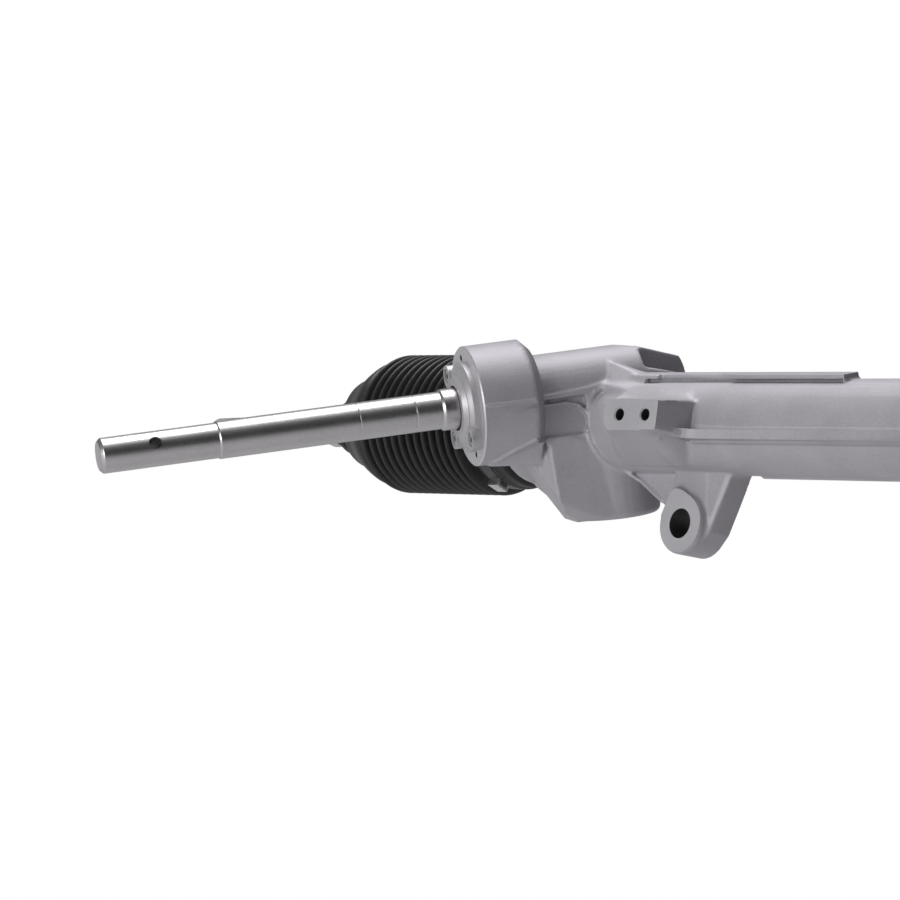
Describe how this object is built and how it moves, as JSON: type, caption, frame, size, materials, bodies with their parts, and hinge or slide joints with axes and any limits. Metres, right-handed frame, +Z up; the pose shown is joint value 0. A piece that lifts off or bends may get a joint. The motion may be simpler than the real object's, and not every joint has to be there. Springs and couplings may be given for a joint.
{
  "type": "steering rack",
  "caption": "Manual rack and pinion steering gear: a cast housing with a sliding toothed rack, a long input shaft on a helical pinion, and rubber bellows over ball jointed tie rods.",
  "frame": {"origin": "centre of the left mounting bore, midway through its depth", "axes": "+X along the rack bar from the pinion's side of the gear to the far side, -Y towards the driver, the way the input shaft points, +Z up"},
  "size_m": [0.9702, 0.2416, 0.094],
  "materials": {
    "cast_housing": "as cast, fine grain",
    "cover_metal": "pressed, satin",
    "zinc_steel": "zinc plated, satin",
    "black_rubber": "matte",
    "bearing_steel": "ground",
    "dark_steel": "oiled, dark",
    "bush_bronze": "sintered",
    "shaft_steel": "turned and ground",
    "yoke_aluminium": "machined",
    "pale_plastic": "matte",
    "rod_steel": "forged, oiled",
    "boot_rubber": "matte moulded rubber",
    "clamp_steel": "stainless band, satin"
  },
  "bodies": {
    "housing": {"housing": "cast_housing", "pinion_cover": "cover_metal", "cover_screws": "zinc_steel", "pinion_seal": "black_rubber", "bearing_outer_ring": "bearing_steel", "bearing_snap_ring": "dark_steel", "pinion_lower_bush": "bush_bronze", "yoke": "yoke_aluminium", "yoke_liner": "pale_plastic", "yoke_o_ring": "black_rubber", "yoke_spring": "dark_steel", "yoke_plug": "zinc_steel", "yoke_lock_ring": "zinc_steel", "rack_bush": "pale_plastic", "left_boot": "boot_rubber", "left_large_clamp": "clamp_steel", "right_boot": "boot_rubber", "right_large_clamp": "clamp_steel"},
    "rack": {"rack_bar": "shaft_steel", "left_ball_socket": "zinc_steel", "left_ball_seat": "pale_plastic", "right_ball_socket": "zinc_steel", "right_ball_seat": "pale_plastic"},
    "pinion": {"pinion_shaft": "shaft_steel", "bearing_inner_ring": "bearing_steel", "bearing_balls": "bearing_steel", "shaft_circlip": "dark_steel"},
    "left_tie_rod": {"left_tie_rod": "rod_steel", "left_small_clamp": "clamp_steel"},
    "right_tie_rod": {"right_tie_rod": "rod_steel", "right_small_clamp": "clamp_steel"}
  },
  "joints": [
    {"name": "rack_slide", "type": "slide", "parent": "housing", "child": "rack", "axis": [1, 0, 0], "range_m": [-0.1, 0.04], "deforming": ["left_boot", "right_boot"]},
    {"name": "pinion_spin", "type": "hinge", "parent": "housing", "child": "pinion", "pos_m": [-0.066, -0.00511, 0.06021], "axis": [-0.4226, -0.8644, -0.2725], "range_deg": [-720, 290]},
    {"name": "left_tie_rod_swing", "type": "hinge", "parent": "rack", "child": "left_tie_rod", "pos_m": [-0.197, 0, 0.044], "axis": [0, 1, 0], "range_deg": [-18, 18]},
    {"name": "right_tie_rod_swing", "type": "hinge", "parent": "rack", "child": "right_tie_rod", "pos_m": [0.463, 0, 0.044], "axis": [0, 1, 0], "range_deg": [-18, 18]}
  ],
  "couplings": [
    {"joint": "pinion_spin", "follows": "rack_slide", "rad_per_m": 125}
  ]
}
